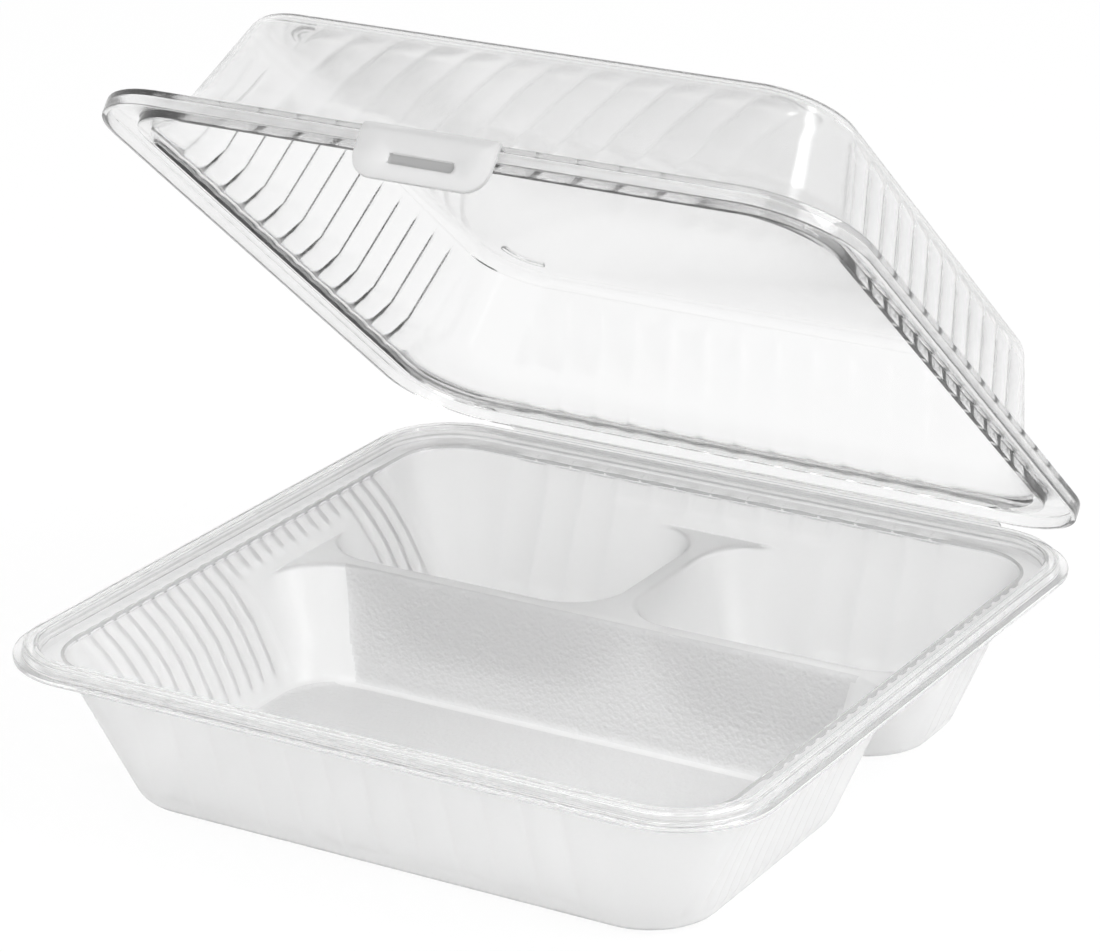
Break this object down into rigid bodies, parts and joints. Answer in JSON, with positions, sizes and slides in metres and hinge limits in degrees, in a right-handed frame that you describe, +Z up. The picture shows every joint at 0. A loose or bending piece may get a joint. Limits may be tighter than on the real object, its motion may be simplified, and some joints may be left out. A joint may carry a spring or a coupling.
{
  "type": "meal container",
  "caption": "Square hinged meal container of clear plastic with a wide front compartment, smaller rear ones, fluted walls and a domed lid with a latch tab.",
  "frame": {"origin": "centre of the tray on its underside, in the plane of the table it stands on", "axes": "+X along the hinge, +Y towards the hinge side at the rear, +Z up"},
  "size_m": [0.2286, 0.2365, 0.2078],
  "materials": {
    "tray_plastic": "satin",
    "lid_plastic": "gloss"
  },
  "bodies": {
    "base": {"base_tray": "tray_plastic", "living_hinge": "tray_plastic"},
    "lid": {"lid": "lid_plastic"}
  },
  "joints": [
    {"name": "lid_hinge", "type": "hinge", "parent": "base", "child": "lid", "pos_m": [0, 0.117, 0.04535], "axis": [-1, 0, 0], "range_deg": [-39, 141], "deforming": ["living_hinge"]}
  ]
}
